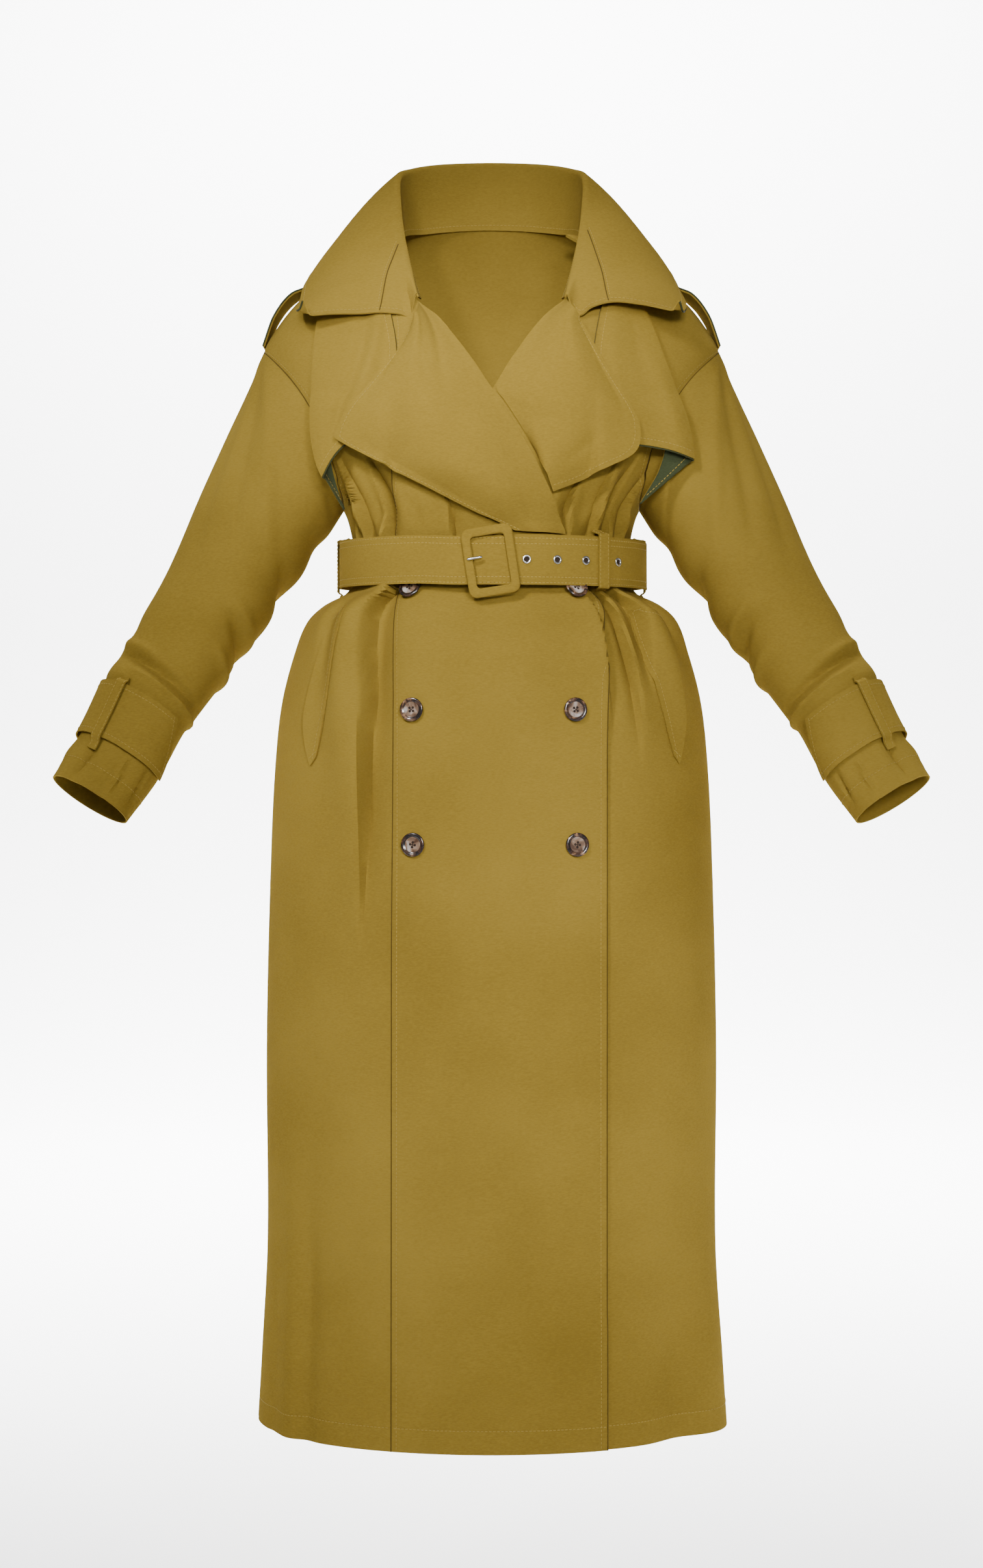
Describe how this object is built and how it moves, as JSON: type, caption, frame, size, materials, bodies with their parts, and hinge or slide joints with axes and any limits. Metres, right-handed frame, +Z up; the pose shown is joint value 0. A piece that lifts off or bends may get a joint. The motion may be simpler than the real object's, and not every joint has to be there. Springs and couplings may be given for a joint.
{
  "type": "trench coat",
  "caption": "Long double-breasted trench coat with wide collar, lapels, storm flaps, covered-buckle belt and cuff straps, hollow as if worn.",
  "frame": {"origin": "on the shoulder line at the middle of the neck opening, where the wearer's neck and shoulders hold the coat", "axes": "+Z up, -Y is the front of the coat, +X is the wearer's left"},
  "size_m": [0.9112, 0.3127, 1.3702],
  "materials": {
    "twill": "olive khaki cotton twill with a soft dull sheen",
    "green_lining": "sage green plain lining cloth",
    "steel": "polished steel",
    "horn": "dark brown mottled horn, polished"
  },
  "bodies": {
    "root": {"back": "twill", "front_right_side": "twill", "front_right_overlap": "twill", "front_left": "twill", "sleeve_right": "twill", "sleeve_left": "twill", "collar_stand": "twill", "collar_leaf": "twill", "lapel_right": "twill", "lapel_left": "twill", "storm_flap_right": "twill", "storm_flap_left": "twill", "belt": "twill", "belt_end": "twill", "belt_keeper": "twill", "belt_loop_left": "twill", "belt_loop_right": "twill", "buckle": "twill", "pocket_welt_right": "twill", "pocket_welt_left": "twill", "cuff_strap_right": "twill", "cuff_strap_left": "twill", "cuff_strap_loop_right": "twill", "cuff_strap_loop_left": "twill", "storm_flap_lining_right": "green_lining", "storm_flap_lining_left": "green_lining", "epaulette_right": "green_lining", "epaulette_left": "green_lining", "buckle_prong": "steel", "eyelet_1": "steel", "eyelet_2": "steel", "eyelet_3": "steel", "eyelet_4": "steel", "button_1": "horn", "button_2": "horn", "button_3": "horn", "button_4": "horn", "button_5": "horn", "button_6": "horn"}
  },
  "joints": []
}
